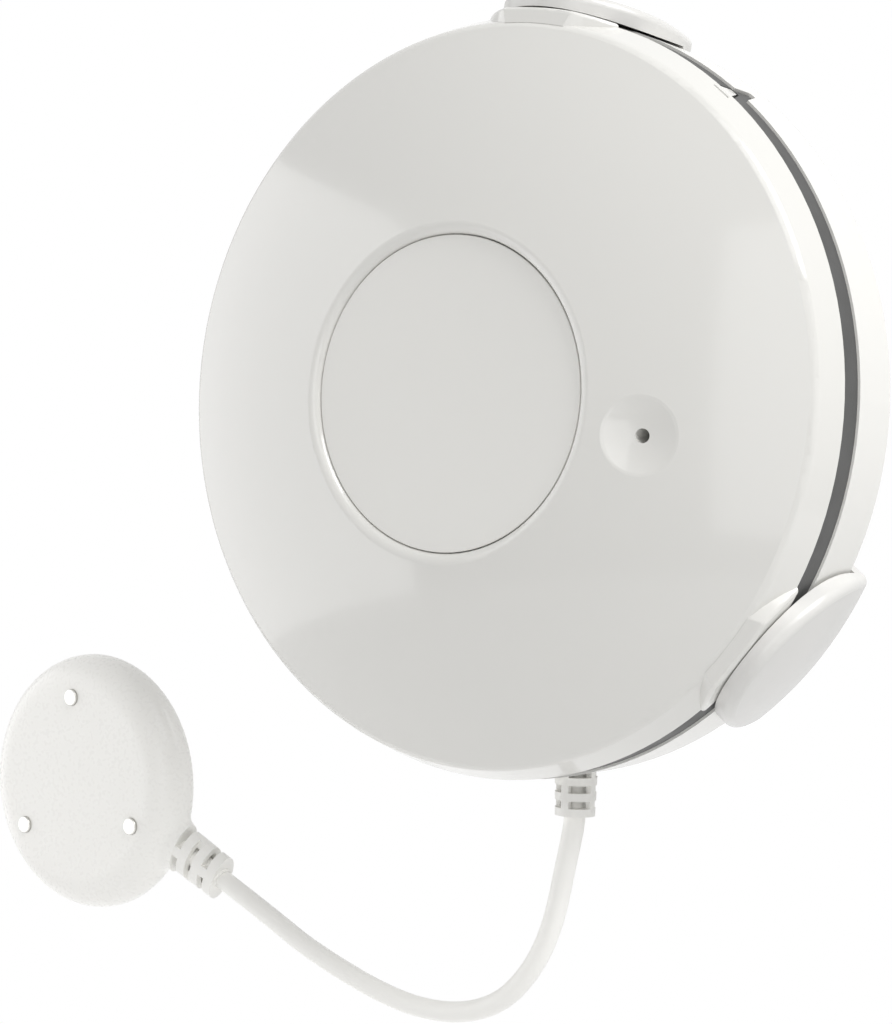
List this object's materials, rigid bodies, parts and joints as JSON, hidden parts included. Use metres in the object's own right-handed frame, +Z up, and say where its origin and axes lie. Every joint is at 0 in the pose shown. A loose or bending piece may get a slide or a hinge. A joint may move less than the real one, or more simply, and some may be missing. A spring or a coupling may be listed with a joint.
{
  "type": "water leak sensor",
  "caption": "Round wall-mounted water leak sensor with a domed cover, a test button and a grip bracket, wired to a small flat probe with metal contacts.",
  "frame": {"origin": "centre of the wall bracket's back face, on the round unit's axis, in the plane of the wall", "axes": "+Z up, +X to the right seen from the front, -Y out of the wall towards the viewer, +Y into the wall along the unit's axis"},
  "size_m": [0.1357, 0.0243, 0.125],
  "materials": {
    "bracket_plastic": "white, moulded, semi-gloss",
    "housing_plastic": "white, moulded, semi-gloss",
    "cover_plastic": "white, polished",
    "button_plastic": "white, polished",
    "gasket_rubber": "dark grey, matt",
    "foam_tape": "closed-cell foam tape, matt",
    "board_laminate": "green solder resist on glass laminate",
    "plated_steel": "nickel plated",
    "component_black": "black moulding compound",
    "shield_steel": "tin plated sheet",
    "copper_wire": "bare copper",
    "led_lens": "milky epoxy",
    "holder_plastic": "white, fine texture",
    "cell_sleeve": "printed sleeve, plain dark grey",
    "connector_plastic": "natural nylon",
    "lead_jacket": "white, smooth, satin",
    "relief_rubber": "white, smooth, satin",
    "probe_plastic": "white, moulded, semi-gloss",
    "pin_steel": "stainless, turned"
  },
  "bodies": {
    "bracket": {"wall_bracket": "bracket_plastic", "bracket_adhesive_pads": "foam_tape"},
    "unit": {"back_housing": "housing_plastic", "seam_gasket": "gasket_rubber", "circuit_board": "board_laminate", "board_screws": "plated_steel", "board_components": "component_black", "radio_module": "shield_steel", "antenna_wire": "copper_wire", "status_led": "led_lens", "tact_switch": "component_black", "buzzer": "component_black", "buzzer_gasket": "foam_tape", "battery_holder": "holder_plastic", "battery_cell_upper": "cell_sleeve", "battery_cell_lower": "cell_sleeve", "battery_contacts": "plated_steel", "lead_header": "connector_plastic", "lead_plug": "connector_plastic", "body_lead_end": "lead_jacket", "body_strain_relief": "relief_rubber", "probe_cord": "lead_jacket", "probe_strain_relief": "relief_rubber", "probe_front_shell": "probe_plastic", "probe_back_shell": "probe_plastic", "contact_pins": "pin_steel", "probe_board": "board_laminate", "probe_lead_end": "lead_jacket", "probe_adhesive_pad": "foam_tape"},
    "cover": {"front_cover": "cover_plastic"},
    "button": {"test_button": "button_plastic"},
    "plunger": {"switch_plunger": "component_black"}
  },
  "joints": [
    {"name": "unit_release", "type": "slide", "parent": "bracket", "child": "unit", "axis": [0, -1, 0], "range_m": [0, 0.03]},
    {"name": "cover_lift", "type": "slide", "parent": "unit", "child": "cover", "axis": [0, -1, 0], "range_m": [0, 0.03]},
    {"name": "button_press", "type": "slide", "parent": "cover", "child": "button", "axis": [0, 1, 0], "range_m": [0, 0.0005], "stiffness_N_per_m": 4000},
    {"name": "plunger_press", "type": "slide", "parent": "unit", "child": "plunger", "axis": [0, 1, 0], "range_m": [0, 0.0005]}
  ],
  "couplings": [
    {"joint": "plunger_press", "follows": "button_press", "ratio": 1}
  ]
}
